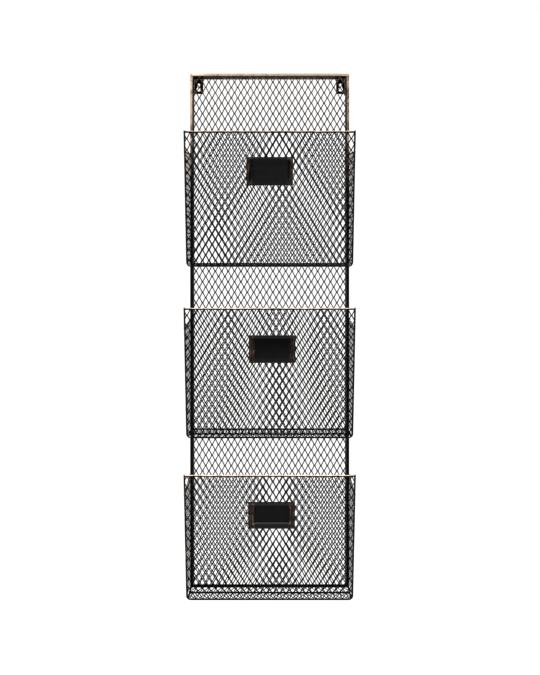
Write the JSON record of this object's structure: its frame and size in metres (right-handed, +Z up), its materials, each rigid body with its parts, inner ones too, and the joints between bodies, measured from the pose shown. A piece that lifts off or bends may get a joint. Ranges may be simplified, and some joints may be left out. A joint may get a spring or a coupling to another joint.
{
  "type": "hanging file rack",
  "caption": "Tall wall-hung file rack: a steel angle frame with expanded-metal pockets that lean out, each with a label holder and a sliding card.",
  "frame": {"origin": "middle of the top rail's back edge, where it rests on the wall", "axes": "+Z up the rack, +Y into the wall, +X to the right as seen from the room; the front faces -Y"},
  "size_m": [0.3084, 0.1319, 0.9868],
  "materials": {
    "black_paint": "satin black paint, worn to bronze on its outer edges",
    "rubbed_paint": "satin black paint, rubbed through to bronze on top",
    "mesh_paint": "black paint with brown rubbed strands",
    "holder_paint": "satin black paint, rubbed brown on its steps",
    "card": "matte black card with faint smudges"
  },
  "bodies": {
    "rack": {"frame_top_rail": "black_paint", "frame_left_stile": "black_paint", "frame_right_stile": "black_paint", "frame_bottom_rail": "black_paint", "back_mesh": "mesh_paint", "left_hanger_plate": "black_paint", "right_hanger_plate": "black_paint", "upper_left_upright": "rubbed_paint", "upper_right_upright": "rubbed_paint", "upper_rim_wire": "rubbed_paint", "upper_front_bottom_wire": "black_paint", "upper_front_mesh": "mesh_paint", "upper_left_side_top_wire": "rubbed_paint", "upper_left_side_foot_wire": "black_paint", "upper_right_side_top_wire": "rubbed_paint", "upper_right_side_foot_wire": "black_paint", "upper_left_side_mesh": "mesh_paint", "upper_right_side_mesh": "mesh_paint", "upper_floor_back_wire": "black_paint", "upper_floor_middle_wire": "black_paint", "upper_floor_mesh": "mesh_paint", "upper_label_holder": "holder_paint", "middle_left_upright": "rubbed_paint", "middle_right_upright": "rubbed_paint", "middle_rim_wire": "rubbed_paint", "middle_front_bottom_wire": "black_paint", "middle_front_mesh": "mesh_paint", "middle_left_side_top_wire": "rubbed_paint", "middle_left_side_foot_wire": "black_paint", "middle_right_side_top_wire": "rubbed_paint", "middle_right_side_foot_wire": "black_paint", "middle_left_side_mesh": "mesh_paint", "middle_right_side_mesh": "mesh_paint", "middle_floor_back_wire": "black_paint", "middle_floor_middle_wire": "black_paint", "middle_floor_mesh": "mesh_paint", "middle_label_holder": "holder_paint", "lower_left_upright": "rubbed_paint", "lower_right_upright": "rubbed_paint", "lower_rim_wire": "rubbed_paint", "lower_front_bottom_wire": "black_paint", "lower_front_mesh": "mesh_paint", "lower_left_side_top_wire": "rubbed_paint", "lower_left_side_foot_wire": "black_paint", "lower_right_side_top_wire": "rubbed_paint", "lower_right_side_foot_wire": "black_paint", "lower_left_side_mesh": "mesh_paint", "lower_right_side_mesh": "mesh_paint", "lower_floor_back_wire": "black_paint", "lower_floor_middle_wire": "black_paint", "lower_floor_mesh": "mesh_paint", "lower_label_holder": "holder_paint"},
    "upper_card": {"upper_label_card": "card"},
    "middle_card": {"middle_label_card": "card"},
    "lower_card": {"lower_label_card": "card"}
  },
  "joints": [
    {"name": "upper_card_slide", "type": "slide", "parent": "rack", "child": "upper_card", "axis": [0, -0.1836, 0.983], "range_m": [0, 0.048]},
    {"name": "middle_card_slide", "type": "slide", "parent": "rack", "child": "middle_card", "axis": [0, -0.1836, 0.983], "range_m": [0, 0.048]},
    {"name": "lower_card_slide", "type": "slide", "parent": "rack", "child": "lower_card", "axis": [0, -0.1836, 0.983], "range_m": [0, 0.048]}
  ]
}
